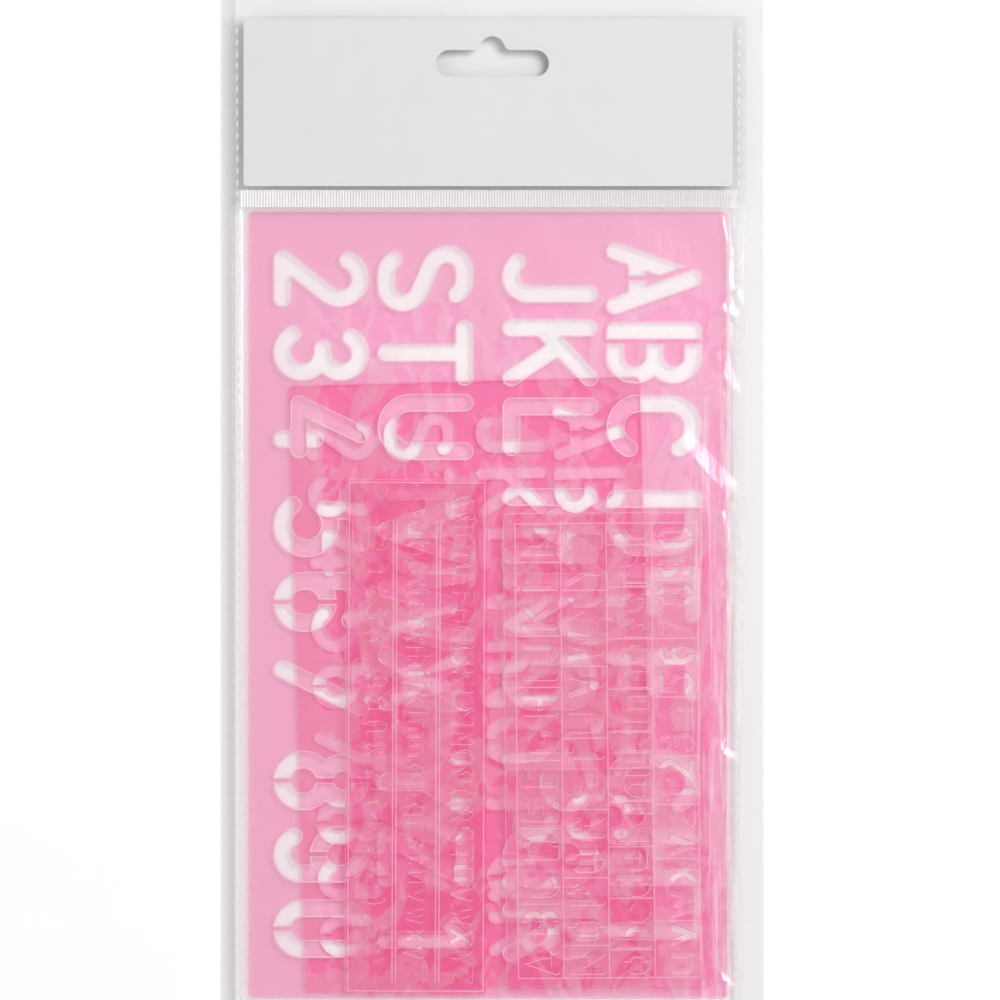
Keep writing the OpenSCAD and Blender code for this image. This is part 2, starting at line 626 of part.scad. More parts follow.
module closing_flap() {
    cut = flap_l / 4;
    color("lightcyan", 0.4) from_foot() linear_extrude(film_t) polygon([
        [-flap_half, flap_y], [flap_half, flap_y], [flap_half, flap_y + flap_l - cut],
        [flap_half - cut, flap_y + flap_l], [cut - flap_half, flap_y + flap_l],
        [-flap_half, flap_y + flap_l - cut]]);
}

module adhesive_strip() {
    glue_half = flap_half - flap_l / 4 - 1;
    color("ivory", 0.8) from_foot() translate([-glue_half, flap_y + flap_l - glue_in - glue_w, film_t])
        cube([2 * glue_half, glue_w, glue_t]);
}

// A stencil with four rows of big letters that read towards the bag's foot
module big_stencil(w, l, t, pitch, group, inner, outer, cap, stroke, bridge) {
    places = [-outer, -inner, inner, outer];
    linear_extrude(t) difference() {
        rounded(w, l, corner_r);
        for (i = [0 : 3]) translate([places[i], 0]) rotate(-90)
            grouped_row(BIG_ROWS[i], pitch, group, cap, stroke, bridge);
    }
}

module large_stencil() {
    color("pink", 0.8) from_foot() translate([0, large_y, large_z])
        big_stencil(large_w, large_l, large_t, large_pitch, large_group, large_inner, large_outer,
            large_cap, large_stroke, large_bridge);
}

module medium_stencil() {
    color("pink", 0.8) from_foot() translate([medium_x, medium_y, medium_z]) rotate(medium_turn)
        big_stencil(medium_w, medium_l, medium_t, medium_pitch, medium_group, medium_inner,
            medium_outer, medium_cap, medium_stroke, medium_bridge);
}

// Four ruled rows that read towards the header, with a short line after every second letter
module small_stencil() {
    frame_w = 4 * small_row;
    frame_l = small_l - 2 * frame_in;
    row_l = frame_l - 2 * row_margin;
    unit = small_cap - small_stroke;
    first_cut = [2, 1, 1, 2];
    color("pink", 0.8) from_foot() translate([small_x, small_y, ruled_z]) rotate(small_turn) {
        linear_extrude(ruled_t) difference() {
            rounded(small_w, small_l, corner_r);
            for (i = [0 : 3]) translate([-frame_w / 2 + (i + 1) * small_row - baseline_up, -row_l / 2])
                rotate(90) spaced_row(SHORT_TAILED, SMALL_ROWS[i], row_l, small_cap, small_stroke,
                    small_bridge);
        }
        translate([0, 0, ruled_t]) linear_extrude(line_h) {
            line_frame(frame_w + line_w, frame_l);
            for (i = [1 : 3]) translate([-frame_w / 2 + i * small_row, 0])
                square([line_w, frame_l - line_w], center = true);
            for (i = [0 : 3], n = [first_cut[i] : 2 : len(SMALL_ROWS[i]) - 1])
                translate([-frame_w / 2 + (i + 0.5) * small_row,
                        gap_after(SHORT_TAILED, SMALL_ROWS[i], n, row_l, unit, small_stroke) - row_l / 2])
                    square([small_row, line_w], center = true);
        }
    }
}

// Three rows that read towards the bag's foot, parted by double lines, with a hanging hole
module mini_stencil() {
    start = [mini_margin, mini_head, mini_head];
    color("pink", 0.8) from_foot() translate([mini_x, mini_y, ruled_z]) rotate(mini_turn) {
        linear_extrude(ruled_t) difference() {
            rounded(mini_w, mini_l, corner_r / 2);
            for (i = [0 : 2]) translate([(1 - i) * mini_row - mini_cap / 2 + mini_low, mini_l / 2 - start[i]])
                rotate(-90) spaced_row(LONG_TAILED, MINI_ROWS[i], mini_l - start[i] - mini_ends[i],
                    mini_cap, mini_stroke, mini_bridge);
            translate([0, mini_l / 2 - hole_in]) circle(r = hole_r);
        }
        translate([0, 0, ruled_t]) linear_extrude(line_h) {
            line_frame(mini_w - 2 * mini_frame_in, mini_l - 2 * mini_frame_in);
            for (side = [-1, 1], k = [-1, 1])
                translate([side * mini_row / 2 + k * double_gap, (mini_margin - mini_head) / 2])
                    square([line_w, mini_l - mini_head - mini_margin], center = true);
        }
    }
}

back_film();
front_film();
header_back_film();
header_card();
ribbed_seal();
left_weld();
right_weld();
closing_flap();
adhesive_strip();
medium_stencil();
large_stencil();
small_stencil();
mini_stencil();
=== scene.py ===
"""Looks for a set of four translucent lettering stencils in a clear header bag.

The stencils keep the solids' outlines and get softly rounded edges. Their slot edges are
painted light: a pale painted highlight, and on the two smaller sheets pale on the side where
light leaves the plastic and deep, painted shade, on the other. The front film is a new surface
that is slack over the sheets and creased along its right margin, with streaks of painted
highlight down its right side. The card and the adhesive are made a hair thinner, so that they
share no plane with the clear films. The floor has painted shade in a soft grey band round the
bag and a painted shadow beside its left edge. The light and the camera follow the real scene:
straight down, soft, from the upper right.
"""

import math

import bmesh
import bpy
import numpy as np
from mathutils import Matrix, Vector


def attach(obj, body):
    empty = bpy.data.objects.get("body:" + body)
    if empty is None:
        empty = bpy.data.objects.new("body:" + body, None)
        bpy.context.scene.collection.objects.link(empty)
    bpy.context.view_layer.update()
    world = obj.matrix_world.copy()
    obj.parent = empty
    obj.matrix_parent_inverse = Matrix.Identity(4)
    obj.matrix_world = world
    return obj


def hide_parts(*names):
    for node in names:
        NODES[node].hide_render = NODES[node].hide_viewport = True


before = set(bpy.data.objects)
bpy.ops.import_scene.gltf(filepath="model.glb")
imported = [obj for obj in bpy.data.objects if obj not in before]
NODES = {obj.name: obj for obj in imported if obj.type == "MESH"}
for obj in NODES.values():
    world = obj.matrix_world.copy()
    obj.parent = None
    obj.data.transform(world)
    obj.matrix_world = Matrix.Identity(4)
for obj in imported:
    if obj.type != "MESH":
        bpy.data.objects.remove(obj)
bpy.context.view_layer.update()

MM = 0.001
SAME_PLACE = 1e-6
COPLANAR = math.radians(0.5)


# ---------------------------------------------------------------- node helpers
class Paint:
    """A material under construction: short names for adding and joining its nodes."""

    def __init__(self, name):
        self.mat = bpy.data.materials.new(name)
        self.mat.use_nodes = True
        self.tree = self.mat.node_tree
        self.tree.nodes.clear()
        self.out = self.tree.nodes.new("ShaderNodeOutputMaterial")
        coords = self.tree.nodes.new("ShaderNodeTexCoord")
        self.place = coords.outputs["Object"]

    def node(self, kind, settings=None, **inputs):
        n = self.tree.nodes.new(kind)
        for key, value in (settings or {}).items():
            setattr(n, key, value)
        for key, value in inputs.items():
            self.put(n.inputs[key.replace("_", " ")], value)
        return n

    def put(self, socket, value):
        if isinstance(value, bpy.types.NodeSocket):
            self.tree.links.new(value, socket)
        else:
            socket.default_value = value

    def scaled(self, x, y, z):
        """The object's own place, stretched."""
        n = self.tree.nodes.new("ShaderNodeMapping")
        self.tree.links.new(self.place, n.inputs["Vector"])
        n.inputs["Scale"].default_value = (x, y, z)
        return n.outputs["Vector"]

    def noise(self, where, scale, detail=3.0, rough=0.5, warp=0.0):
        n = self.node("ShaderNodeTexNoise", Scale=scale, Detail=detail, Roughness=rough)
        n.inputs["Distortion"].default_value = warp
        self.tree.links.new(where, n.inputs["Vector"])
        return n.outputs["Fac"]

    def span(self, value, low, high, to_low=0.0, to_high=1.0):
        """value, low to high, spread over to_low to to_high and held there."""
        n = self.tree.nodes.new("ShaderNodeMapRange")
        self.tree.links.new(value, n.inputs["Value"])
        ends = {"From Min": low, "From Max": high, "To Min": to_low, "To Max": to_high}
        for key, number in ends.items():
            n.inputs[key].default_value = number
        return n.outputs["Result"]

    def math(self, what, a, b=0.0):
        n = self.tree.nodes.new("ShaderNodeMath")
        n.operation = what
        self.put(n.inputs[0], a)
        self.put(n.inputs[1], b)
        return n.outputs[0]

    def bump(self, height, strength, distance):
        n = self.tree.nodes.new("ShaderNodeBump")
        self.tree.links.new(height, n.inputs["Height"])
        n.inputs["Strength"].default_value = strength
        n.inputs["Distance"].default_value = distance
        return n.outputs["Normal"]

    def blend(self, share, first, second):
        n = self.tree.nodes.new("ShaderNodeMixShader")
        self.put(n.inputs["Fac"], share)
        self.tree.links.new(first, n.inputs[1])
        self.tree.links.new(second, n.inputs[2])
        return n.outputs["Shader"]

    def finish(self, shader):
        self.tree.links.new(shader, self.out.inputs["Surface"])
        return self.mat


def film_shine(p, share):
    """Share of light a film throws back: a little straight on, most at the edge of sight."""
    edge = p.node("ShaderNodeLayerWeight", Blend=0.5)
    steep = p.math("POWER", edge.outputs["Facing"], 4.0)
    shine = p.math("MULTIPLY_ADD", steep, 0.7)
    shine.node.inputs[2].default_value = share
    return shine


def clear_plastic(name, tint, haze, haze_colour, rough):
    """Thin clear plastic: what is behind shows through with a tint, under a gloss that grows
    towards the edge of sight and a little haze of its own."""
    p = Paint(name)
    fine = p.noise(p.scaled(1.0, 0.45, 1.0), 420.0, 3.0, 0.6, 0.8)
    glass = p.node("ShaderNodeBsdfTransparent", Color=(*tint, 1.0))
    gloss = p.node("ShaderNodeBsdfGlossy", Color=(1.0, 1.0, 1.0, 1.0))
    p.put(gloss.inputs["Roughness"], p.span(fine, 0.3, 0.7, rough * 0.7, rough * 1.4))
    milk = p.node("ShaderNodeBsdfDiffuse", Color=(*haze_colour, 1.0))
    body = p.blend(haze, glass.outputs[0], milk.outputs[0])
    return p.finish(p.blend(film_shine(p, 0.045), body, gloss.outputs[0]))


def clinging_film(name, tint):
    """The film over the sheets. Where it clings to the sheet below it is clear; where air is
    caught under it, it is pale. The patches have sharp, ragged outlines. All of it is loose near
    the header and along the left edge. Fine upright streaks of pale haze, a painted highlight,
    run down the right side."""
    p = Paint(name)
    place = p.tree.nodes.new("ShaderNodeSeparateXYZ")
    p.tree.links.new(p.place, place.inputs[0])
    across, along = place.outputs["X"], place.outputs["Y"]
    free = p.math("MAXIMUM", p.span(along, 0.058, 0.068), p.span(across, -0.046, -0.056))
    big = p.noise(p.scaled(1.0, 0.62, 1.0), 62.0, 3.0, 0.5, 1.7)
    loose = p.span(p.math("ADD", big, p.math("MULTIPLY", free, 0.3)), 0.495, 0.51)
    island = p.span(p.noise(p.scaled(1.0, 0.7, 1.0), 135.0, 3.0, 0.55, 2.2), 0.585, 0.6)
    # Painted highlight: pale streaks of haze down the right side of the film.
    strip = p.math("MULTIPLY", p.span(across, 0.054, 0.06), p.span(along, 0.055, 0.02))
    streak = p.span(p.noise(p.scaled(1.0, 0.035, 1.0), 900.0, 2.0, 0.5, 0.3), 0.5, 0.66)
    lines = p.math("MULTIPLY", strip, streak)
    island_haze = p.math("SUBTRACT", 0.035, p.math("MULTIPLY", free, 0.03))
    pale = p.math("MULTIPLY", loose, 0.035)
    pale = p.math("ADD", pale, p.math("MULTIPLY", island, island_haze))
    pale = p.math("ADD", pale, p.math("MULTIPLY", lines, 0.14))
    pale = p.math("ADD", pale, 0.01)
    fine = p.noise(p.scaled(1.0, 0.45, 1.0), 300.0, 3.0, 0.6, 0.8)
    glass = p.node("ShaderNodeBsdfTransparent", Color=(*tint, 1.0))
    ripple = p.bump(fine, 0.12, 0.0008)
    gloss = p.node("ShaderNodeBsdfGlossy", Color=(1.0, 1.0, 1.0, 1.0), Roughness=0.2, Normal=ripple)
    milk = p.node("ShaderNodeBsdfDiffuse", Color=(1.0, 1.0, 1.0, 1.0))
    lifted = p.math("ADD", p.math("MULTIPLY", loose, 0.6), 0.4)
    shine = p.math("MULTIPLY", film_shine(p, 0.045), lifted)
    body = p.blend(pale, glass.outputs[0], milk.outputs[0])
    return p.finish(p.blend(shine, body, gloss.outputs[0]))


def pink_plastic(name, seed, tint, colour, haze, air=0.0):
    """Translucent pink sheet: tinted see-through plastic with a faint bloom and a satin gloss.
    air is how pale it gets in the patches where it doesn't lie wet against the sheet below."""
    p = Paint(name)
    shifted = p.tree.nodes.new("ShaderNodeMapping")
    p.tree.links.new(p.place, shifted.inputs["Vector"])
    shifted.inputs["Location"].default_value = (seed, seed * 0.7, 0.0)
    where = shifted.outputs["Vector"]
    broad = p.noise(where, 22.0, 3.0, 0.5, 0.3)
    fine = p.noise(where, 1400.0, 2.0, 0.5)
    normal = p.bump(p.math("ADD", p.math("MULTIPLY", fine, 0.05), broad), 0.12, 0.0006)
    glass = p.node("ShaderNodeBsdfTransparent", Color=(*tint, 1.0))
    skin = p.node("ShaderNodeBsdfPrincipled", Normal=normal)
    skin.inputs["Base Color"].default_value = (*colour, 1.0)
    skin.inputs["IOR"].default_value = 1.5
    p.put(skin.inputs["Roughness"], p.span(fine, 0.3, 0.7, 0.16, 0.3))
    through = p.node("ShaderNodeBsdfTranslucent", Color=(*colour, 1.0))
    bloom = p.blend(0.45, skin.outputs[0], through.outputs[0])
    share = p.span(broad, 0.3, 0.7, haze * 0.9, haze * 1.1)
    body = p.blend(share, glass.outputs[0], bloom)
    if air:
        patch = p.noise(where, 85.0, 3.0, 0.5, 2.0)
        pale = p.node("ShaderNodeBsdfDiffuse", Color=(1.0, 0.8, 0.88, 1.0))
        body = p.blend(p.span(patch, 0.5, 0.512, 0.0, air), body, pale.outputs[0])
    return p.finish(body)


def cut_edge(name, tint, colour, share):
    """Edge of a sheet, where light gathers in the plastic: streaked along the cut."""
    p = Paint(name)
    fine = p.noise(p.place, 1500.0, 2.0, 0.6)
    glass = p.node("ShaderNodeBsdfTransparent", Color=(*tint, 1.0))
    skin = p.node("ShaderNodeBsdfPrincipled", Normal=p.bump(fine, 0.3, 0.0001))
    skin.inputs["Base Color"].default_value = (*colour, 1.0)
    skin.inputs["Roughness"].default_value = 0.25
    streaked = p.span(fine, 0.3, 0.7, share * 0.8, share * 1.2)
    return p.finish(p.blend(streaked, glass.outputs[0], skin.outputs[0]))


def paper_card():
    """Bare grey card: short fibres, faint mottling and a dull surface."""
    p = Paint("grey card")
    fibre = p.noise(p.scaled(1.0, 0.3, 1.0), 3200.0, 4.0, 0.7, 1.2)
    mottle = p.noise(p.place, 90.0, 3.0, 0.55)
    both = p.math("ADD", p.math("MULTIPLY", fibre, 0.6), p.math("MULTIPLY", mottle, 0.4))
    ramp = p.tree.nodes.new("ShaderNodeValToRGB")
    p.tree.links.new(both, ramp.inputs["Fac"])
    ramp.color_ramp.elements[0].position = 0.3
    ramp.color_ramp.elements[0].color = (0.735, 0.735, 0.73, 1.0)
    ramp.color_ramp.elements[1].position = 0.7
    ramp.color_ramp.elements[1].color = (0.79, 0.79, 0.785, 1.0)
    skin = p.node("ShaderNodeBsdfPrincipled", Normal=p.bump(fibre, 0.25, 0.00005))
    p.tree.links.new(ramp.outputs["Color"], skin.inputs["Base Color"])
    p.put(skin.inputs["Roughness"], p.span(mottle, 0.3, 0.7, 0.62, 0.78))
    return p.finish(skin.outputs[0])


def glue():
    """Tacky strip: milky, with the streaks that its roller leaves."""
    p = Paint("adhesive")
    streak = p.noise(p.scaled(1.0, 14.0, 1.0), 220.0, 3.0, 0.6)
    glass = p.node("ShaderNodeBsdfTransparent", Color=(0.97, 0.965, 0.93, 1.0))
    skin = p.node("ShaderNodeBsdfPrincipled", Normal=p.bump(streak, 0.4, 0.00008))
    skin.inputs["Base Color"].default_value = (0.88, 0.86, 0.78, 1.0)
    p.put(skin.inputs["Roughness"], p.span(streak, 0.3, 0.7, 0.18, 0.4))
    milky = p.span(streak, 0.3, 0.7, 0.25, 0.45)
    return p.finish(p.blend(milky, glass.outputs[0], skin.outputs[0]))


CLEAR = (0.996, 0.996, 0.994)
FILM = clear_plastic("bag film", CLEAR, 0.01, (0.9, 0.9, 0.9), 0.09)
FRONT = clinging_film("front film", CLEAR)
PRESSED = clear_plastic("pressed film", (0.97, 0.97, 0.965), 0.3, (0.93, 0.93, 0.93), 0.2)
DASH = clear_plastic("weld dashes", (0.9, 0.9, 0.9), 0.5, (0.95, 0.95, 0.95), 0.25)
CARD = paper_card()
GLUE = glue()
PINK = {
    kind + "_stencil": pink_plastic("pink sheet " + kind, seed, tint, colour, haze, air)
    for kind, seed, tint, colour, haze, air in (
        ("large", 0.0, (1.0, 0.84, 0.925), (1.0, 0.22, 0.52), 0.08, 0.0),
        ("medium", 1.3, (1.0, 0.87, 0.94), (1.0, 0.2, 0.5), 0.08, 0.02),
        ("small", 2.9, (1.0, 0.975, 0.985), (1.0, 0.27, 0.6), 0.23, 0.02),
        ("mini", 4.1, (1.0, 0.96, 0.98), (1.0, 0.2, 0.55), 0.23, 0.02),
    )
}
# Painted highlight: a pale colour on the slot walls and their rounded edges of the two larger
# sheets.
RIM = cut_edge("painted highlight slot edge", (1.0, 0.9, 0.94), (1.0, 0.74, 0.84), 0.75)
DEEP = cut_edge("deep sheet edge", (1.0, 0.7, 0.82), (0.95, 0.2, 0.46), 0.5)
LINE = cut_edge("raised line", (1.0, 0.88, 0.93), (1.0, 0.58, 0.76), 0.5)
# Painted highlight on the smaller sheets' slot walls, on the side where light leaves the plastic.
FINE_HIGHLIGHT_EDGE = cut_edge("fine painted highlight slot edge", (1.0, 0.9, 0.95), (1.0, 0.66, 0.82), 0.6)
# Painted shade on the other side of the smaller sheets' slot walls.
SHADE_EDGE = cut_edge("painted shade slot edge", (1.0, 0.68, 0.82), (1.0, 0.14, 0.42), 0.4)


def dress(node, mat):
    """Gives a solid that stays as it is its material."""
    for s in NODES[node].material_slots:
        s.material = mat


for node, mat in (
    ("back_film", FILM),
    ("header_back_film", FILM),
    ("closing_flap", FILM),
    ("ribbed_seal", PRESSED),
    ("left_weld", DASH),
    ("right_weld", DASH),
):
    dress(node, mat)


# ---------------------------------------------------------------- mesh helpers
def everything(work):
    """All the corners, edges and faces of a mesh."""
    return work.verts[:] + work.edges[:] + work.faces[:]


def join_flats(work):
    """Joins the faces that lie in one plane."""
    bmesh.ops.dissolve_limit(work, angle_limit=COPLANAR, verts=work.verts, edges=work.edges)


def merged(node, name):
    """A copy of a solid's mesh as its own object, its corners merged, open for work in bmesh."""
    mesh = NODES[node].data.copy()
    mesh.name = name
    piece = bpy.data.objects.new(name, mesh)
    bpy.context.scene.collection.objects.link(piece)
    work = bmesh.new()
    work.from_mesh(mesh)
    bmesh.ops.remove_doubles(work, verts=work.verts, dist=SAME_PLACE)
    join_flats(work)
    return piece, work


def relevel(work, old, new):
    """Moves the heights of a mesh from old to new levels, in mm, evenly in between."""
    for v in work.verts:
        v.co.z = float(np.interp(v.co.z / MM, old, new)) * MM


def into_cells(work, step):
    """Cuts a mesh along two families of upright planes a step apart and splits its faces, so that
    no face is a long sliver, which would catch light twice in a clear sheet."""
    for axis in (0, 1):
        reach = [v.co[axis] for v in work.verts]
        for place in np.arange(min(reach) + 0.37 * step, max(reach), step).tolist():
            line = [0.0, 0.0, 0.0]
            line[axis] = 1.0
            point = [place * part for part in line]
            bmesh.ops.bisect_plane(
                work, geom=everything(work), dist=SAME_PLACE, plane_co=point, plane_no=line
            )
    many_sided = [f for f in work.faces if len(f.verts) > 4]
    bmesh.ops.triangulate(work, faces=many_sided, ngon_method="BEAUTY")


def plain(piece, mat):
    """One material for the whole of a piece, without the solid's own normals."""
    for layer in [a for a in piece.data.attributes if a.name == "custom_normal"]:
        piece.data.attributes.remove(layer)
    piece.data.materials.clear()
    piece.data.materials.append(mat)


# ---------------------------------------------------------------- card and adhesive
def thinned(node, name, mat, body, old, new):
    """A flat solid made a hair thinner, so that it shares no plane with the films round it: two
    clear faces in one plane would catch the light twice."""
    piece, work = merged(node, name)
    relevel(work, old, new)
    for face in work.faces:
        face.smooth = False
        face.material_index = 0
    into_cells(work, 12.0 * MM)
    work.to_mesh(piece.data)
    work.free()
    plain(piece, mat)
    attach(piece, body)
    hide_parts(node)


thinned("header_card", "card_sheet", CARD, "bag", (4.35, 4.77), (4.38, 4.76))
thinned("adhesive_strip", "adhesive_layer", GLUE, "flap", (0.1, 0.18), (0.12, 0.18))


# ---------------------------------------------------------------- the sheets
SHEET_MAT, SLOT_MAT, RIM_MAT, LINE_MAT, SHADE_MAT = range(5)
LOWEST_WALL = 0.3 * MM  # the walls of the raised lines are lower than this, all others higher
SHARP = math.radians(50)


def wall_groups(work):
    """The upright faces of a sheet in connected groups: one per slot, one round the sheet."""
    todo = dict.fromkeys(f for f in work.faces if abs(f.normal.z) < 0.5)
    groups = []
    while todo:
        stack = [todo.popitem()[0]]
        group = []
        while stack:
            face = stack.pop()
            group.append(face)
            for edge in face.edges:
                for other in edge.link_faces:
                    if other in todo:
                        del todo[other]
                        stack.append(other)
        groups.append(group)
    return groups


def soften(node, body, width, slot_mat, shaded=False):
    """A stencil with the upper edges of its slots and its rim rounded off, and the slots, the rim
    and the raised ruling lines each in their own edge material. The slots' edge material is a pale
    painted highlight. In a shaded one the slots' walls are pale, a painted highlight, on one side,
    where the light leaves the plastic, and deep, painted shade, on the other."""
    mesh = NODES[node].data.copy()
    mesh.name = node + "_cut"
    mesh.materials.clear()
    for mat in (PINK[node], slot_mat, DEEP, LINE, SHADE_EDGE):
        mesh.materials.append(mat)
    piece = bpy.data.objects.new(node + "_cut", mesh)
    bpy.context.scene.collection.objects.link(piece)
    work = bmesh.new()
    work.from_mesh(mesh)
    bmesh.ops.remove_doubles(work, verts=work.verts, dist=0.03 * MM)
    join_flats(work)
    work.normal_update()
    groups = wall_groups(work)

    def reach(group, axis):
        values = [v.co[axis] for f in group for v in f.verts]
        return max(values) - min(values)

    whole = max(groups, key=lambda g: (reach(g, 2) > LOWEST_WALL) * reach(g, 1))
    for face in work.faces:
        face.material_index = SHEET_MAT
        face.smooth = True
    upper = []
    for group in groups:
        if reach(group, 2) < LOWEST_WALL:
            index = LINE_MAT
        else:
            index = RIM_MAT if group is whole else SLOT_MAT
            upper += [
                e
                for f in group
                for e in f.edges
                if any(o.normal.z > 0.5 for o in e.link_faces)
                and any(abs(o.normal.z) < 0.5 for o in e.link_faces)
            ]
        for face in group:
            face.material_index = index
            top = [o for e in face.edges for o in e.link_faces if o.normal.z > 0.5]
            if index == LINE_MAT and top:
                for o in top:
                    if o.calc_center_median().z > max(v.co.z for v in face.verts) - 0.01 * MM:
                        o.material_index = LINE_MAT
    upper = list(dict.fromkeys(upper))
    made = bmesh.ops.bevel(
        work,
        geom=upper,
        offset=width,
        offset_type="OFFSET",
        segments=2,
        profile=0.5,
        affect="EDGES",
        clamp_overlap=False,
    )
    # The rounded faces take the edge material beside them: the deep rim, or the slots' pale painted
    # highlight.
    for face in made["faces"]:
        near = [o.material_index for e in face.edges for o in e.link_faces if abs(o.normal.z) < 0.3]
        face.material_index = RIM_MAT if RIM_MAT in near else SLOT_MAT
    into_cells(work, 6.0 * MM)
    work.normal_update()
    # Painted shade: slot walls facing one way get the deep painted-shade material, the others keep
    # the pale painted highlight.
    if shaded:
        for face in work.faces:
            lit = 0.6 * face.normal.x - 0.8 * face.normal.y
            if face.material_index == SLOT_MAT and lit > -0.2:
                face.material_index = SHADE_MAT
    for edge in work.edges:
        flat = any(abs(f.normal.z) > 0.999 for f in edge.link_faces)
        edge.smooth = not flat and edge.calc_face_angle(math.pi) < SHARP
    work.to_mesh(mesh)
    work.free()
    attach(piece, body)
    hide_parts(node)
    return piece


soften("large_stencil", "large_sheet", 0.32 * MM, RIM)
soften("medium_stencil", "medium_sheet", 0.3 * MM, RIM)
soften("small_stencil", "small_sheet", 0.24 * MM, FINE_HIGHLIGHT_EDGE, True)
soften("mini_stencil", "mini_sheet", 0.18 * MM, FINE_HIGHLIGHT_EDGE, True)


# ---------------------------------------------------------------- the front film
FRONT_Z = 4.37
FILM_T = 0.06
FOOT_Y, TOP_Y = -141.3, 141.3
SPLIT_Y = 88.0
SHEET_RIGHT = 68.2


def half_width(y):
    """Half the bag's width at a height on it: it widens a little towards the header."""
    return 72.0 + 1.1 * (y - FOOT_Y) / (TOP_Y - FOOT_Y)


def hump(t):
    """A smooth hump, 1 at t = 0 and 0 beyond t = -1 and t = 1."""
    return np.where(np.abs(t) < 1.0, (1.0 - np.minimum(t * t, 1.0)) ** 2, 0.0)


def ridge(x, y, start, end, height, width):
    """A fold of the film between two points: a smooth hump across, fading at both ends."""
    (x0, y0), (x1, y1) = start, end
    length = math.hypot(x1 - x0, y1 - y0)
    ux, uy = (x1 - x0) / length, (y1 - y0) / length
    along = ((x - x0) * ux + (y - y0) * uy) / length
    across = (x - x0) * -uy + (y - y0) * ux
    return height * hump(across / width) * hump(2.0 * along - 1.0)


def bank(t, width):
    """A bank across t: steep up before t = 0, then an even slope down to t = width."""
    return np.interp(t, [-0.9, -0.1, 0.3, width], [0.0, 0.97, 0.97, 0.0])


def facet(x, y, start, end, low, high, width):
    """A stretch of film between two points that slopes evenly down to its left side, seen along
    it. Its height grows from low to high with the square of the way along."""
    (x0, y0), (x1, y1) = start, end
    length = math.hypot(x1 - x0, y1 - y0)
    ux, uy = (x1 - x0) / length, (y1 - y0) / length
    along = ((x - x0) * ux + (y - y0) * uy) / length
    across = (x - x0) * -uy + (y - y0) * ux
    ends = np.clip(along * 3.0, 0.0, 1.0) * np.clip((1.0 - along) * 6.0, 0.0, 1.0)
    return (low + (high - low) * along * along) * bank(across, width) * ends


def slack(x, y):
    """Height of the film over its flat place, in mm: long soft waves, a puckered fold beside
    the sheets' right edge and single creases that run in from the corners and the right."""
    wave = np.sin(x / 11.0 + 1.6 * np.sin(y / 31.0)) * np.sin(y / 23.0 + 0.8 * np.sin(x / 17.0))
    wave = 0.1 * wave
    wave += 0.05 * np.sin(x / 4.3 + 2.0 * np.sin(y / 12.0) + y / 19.0)
    wobble = 0.35 * np.sin(y / 4.1) + 0.25 * np.sin(y / 1.9 + 1.0) + 0.4 * np.sin(y / 13.0)
    swell = 0.5 + 0.28 * np.sin(y / 9.0 + 0.7) + 0.2 * np.sin(y / 3.3)
    strong = 0.3 + 0.7 * np.clip((y - 8.0) / 50.0, 0.0, 1.0)
    fold = 0.2 * swell * strong * bank(x - SHEET_RIGHT - 0.1 - 0.3 * wobble, 1.5)
    fold += 0.15 * (1.0 - 0.6 * swell) * hump((x - SHEET_RIGHT + 1.6 + 0.8 * wobble) / 1.4)
    left = 0.12 * hump((x + 70.6 + 0.3 * wobble) / 1.6)
    creases = 0.0
    for start, end, height, width in (
        ((62.0, -62.0), (71.5, -74.0), 0.4, 2.2),
        ((57.0, -66.0), (71.0, -64.0), 0.3, 1.6),
        ((63.0, -128.0), (71.0, -138.0), 0.35, 1.8),
        ((-71.0, -128.0), (-60.0, -139.0), 0.25, 1.8),
        ((56.0, -5.0), (64.0, -95.0), 0.16, 2.6),
        ((66.0, 20.0), (64.5, -60.0), 0.2, 1.5),
        ((-45.0, 30.0), (40.0, 48.0), 0.12, 5.0),
        ((-38.0, 12.0), (20.0, -30.0), 0.1, 4.0),
        ((-50.0, -60.0), (10.0, -95.0), 0.1, 5.0),
        ((5.0, -40.0), (55.0, -75.0), 0.1, 5.0),
        ((-30.0, -120.0), (50.0, -134.0), 0.12, 3.0),
    ):
        creases = creases + ridge(x, y, start, end, height, width)
    for start, end, low, high, width in (
        ((46.5, 28.6), (68.6, 3.4), 0.26, 1.15, 5.2),
        ((68.8, 64.5), (72.2, 59.0), 0.15, 0.3, 1.8),
        ((60.5, 59.5), (71.0, 55.5), 0.2, 0.32, 2.8),
        ((63.5, 47.0), (69.5, 33.0), 0.25, 0.35, 3.2),
        ((52.0, 6.0), (70.0, 2.0), 0.1, 0.3, 3.6),
        ((60.0, -66.0), (71.0, -70.0), 0.15, 0.35, 2.6),
        ((62.0, -130.0), (72.0, -136.0), 0.15, 0.35, 2.6),
        ((-8.0, 36.0), (10.0, 24.0), 0.1, 0.2, 3.0),
        ((18.0, 22.0), (34.0, 16.0), 0.1, 0.2, 3.2),
        ((-50.0, -4.0), (-38.0, -12.0), 0.1, 0.18, 3.0),
    ):
        creases = creases + facet(x, y, start, end, low, high, width)
    edge = np.clip((half_width(y) - np.abs(x)) / 2.2, 0.0, 1.0)
    ends = np.clip((y - FOOT_Y) / 3.0, 0.0, 1.0) * np.clip((SPLIT_Y - y) / 6.0, 0.0, 1.0)
    return np.clip(wave + fold + left + creases, -0.3, 1.15) * edge * ends


